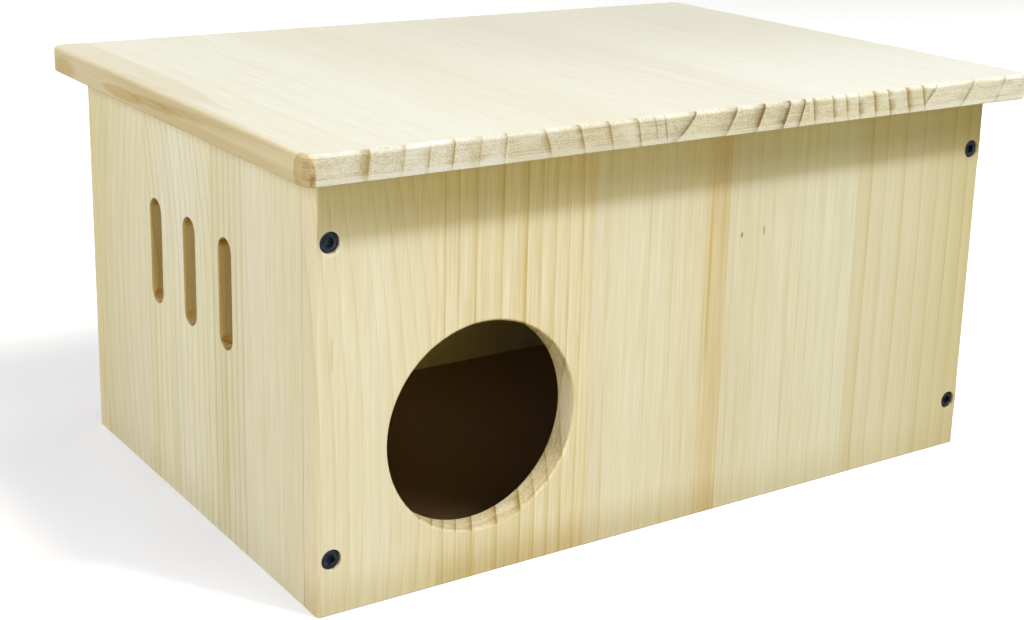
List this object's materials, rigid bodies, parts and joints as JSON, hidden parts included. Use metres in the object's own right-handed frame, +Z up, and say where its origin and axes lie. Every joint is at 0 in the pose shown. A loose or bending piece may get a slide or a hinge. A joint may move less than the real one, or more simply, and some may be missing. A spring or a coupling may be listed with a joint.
{
  "type": "wooden hamster house",
  "caption": "Low box house of edge-glued pine with a round entrance, rounded vent slots in both ends and a loose overhanging roof that lifts off.",
  "frame": {"origin": "on the standing surface, under the middle of the roof", "axes": "+Z up, the entrance faces -Y, the long side runs along X with the entrance nearer to the -X end"},
  "size_m": [0.32, 0.226, 0.16],
  "materials": {
    "wall_wood": "bare sanded pine, matte, upright grain",
    "roof_wood": "bare sanded pine, matte, grain from front to back",
    "cleat_wood": "bare sanded pine, matte",
    "screw_steel": "black oxide steel, satin"
  },
  "bodies": {
    "house": {"front_stave_1": "wall_wood", "front_stave_2": "wall_wood", "front_stave_3": "wall_wood", "front_stave_4": "wall_wood", "front_stave_5": "wall_wood", "back_stave_1": "wall_wood", "back_stave_2": "wall_wood", "back_stave_3": "wall_wood", "back_stave_4": "wall_wood", "back_stave_5": "wall_wood", "left_stave_1": "wall_wood", "left_stave_2": "wall_wood", "left_stave_3": "wall_wood", "right_stave_1": "wall_wood", "right_stave_2": "wall_wood", "right_stave_3": "wall_wood", "front_wall_screws": "screw_steel", "back_wall_screws": "screw_steel"},
    "roof": {"roof_stave_1": "roof_wood", "roof_stave_2": "roof_wood", "roof_stave_3": "roof_wood", "roof_stave_4": "roof_wood", "roof_stave_5": "roof_wood", "front_cleat": "cleat_wood", "back_cleat": "cleat_wood", "cleat_screws": "screw_steel"}
  },
  "joints": [
    {"name": "roof_lift", "type": "slide", "parent": "house", "child": "roof", "axis": [0, 0, 1], "range_m": [0, 0.06]}
  ]
}
